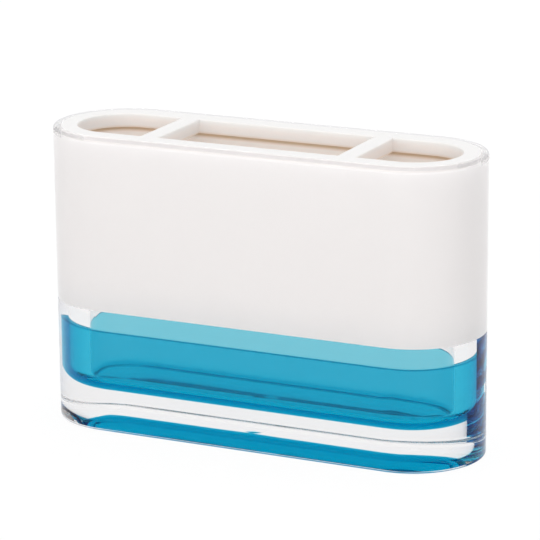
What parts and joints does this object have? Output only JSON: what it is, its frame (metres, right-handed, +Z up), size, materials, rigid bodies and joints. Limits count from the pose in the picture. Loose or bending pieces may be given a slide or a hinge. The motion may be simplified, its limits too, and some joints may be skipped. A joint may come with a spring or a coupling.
{
  "type": "toothbrush holder",
  "caption": "Oval clear holder with a blue cup floor, a white inner sleeve and a lift-out white ring whose openings take toothbrushes and a toothpaste tube.",
  "frame": {"origin": "centre of the oval footprint, on the surface that the holder stands on", "axes": "+X along the length, to the right seen from the front; +Y to the back; +Z up"},
  "size_m": [0.17, 0.054, 0.1122],
  "materials": {
    "clear_plastic": "polished clear",
    "blue_plastic": "polished, tinted see-through blue",
    "white_plastic": "opaque white, gloss",
    "ring_plastic": "opaque white, gloss"
  },
  "bodies": {
    "holder": {"clear_body": "clear_plastic", "blue_cup_floor": "blue_plastic", "white_sleeve": "white_plastic"},
    "ring": {"ring_insert": "ring_plastic"}
  },
  "joints": [
    {"name": "ring_lift", "type": "slide", "parent": "holder", "child": "ring", "axis": [0, 0, 1], "range_m": [0, 0.03]}
  ]
}
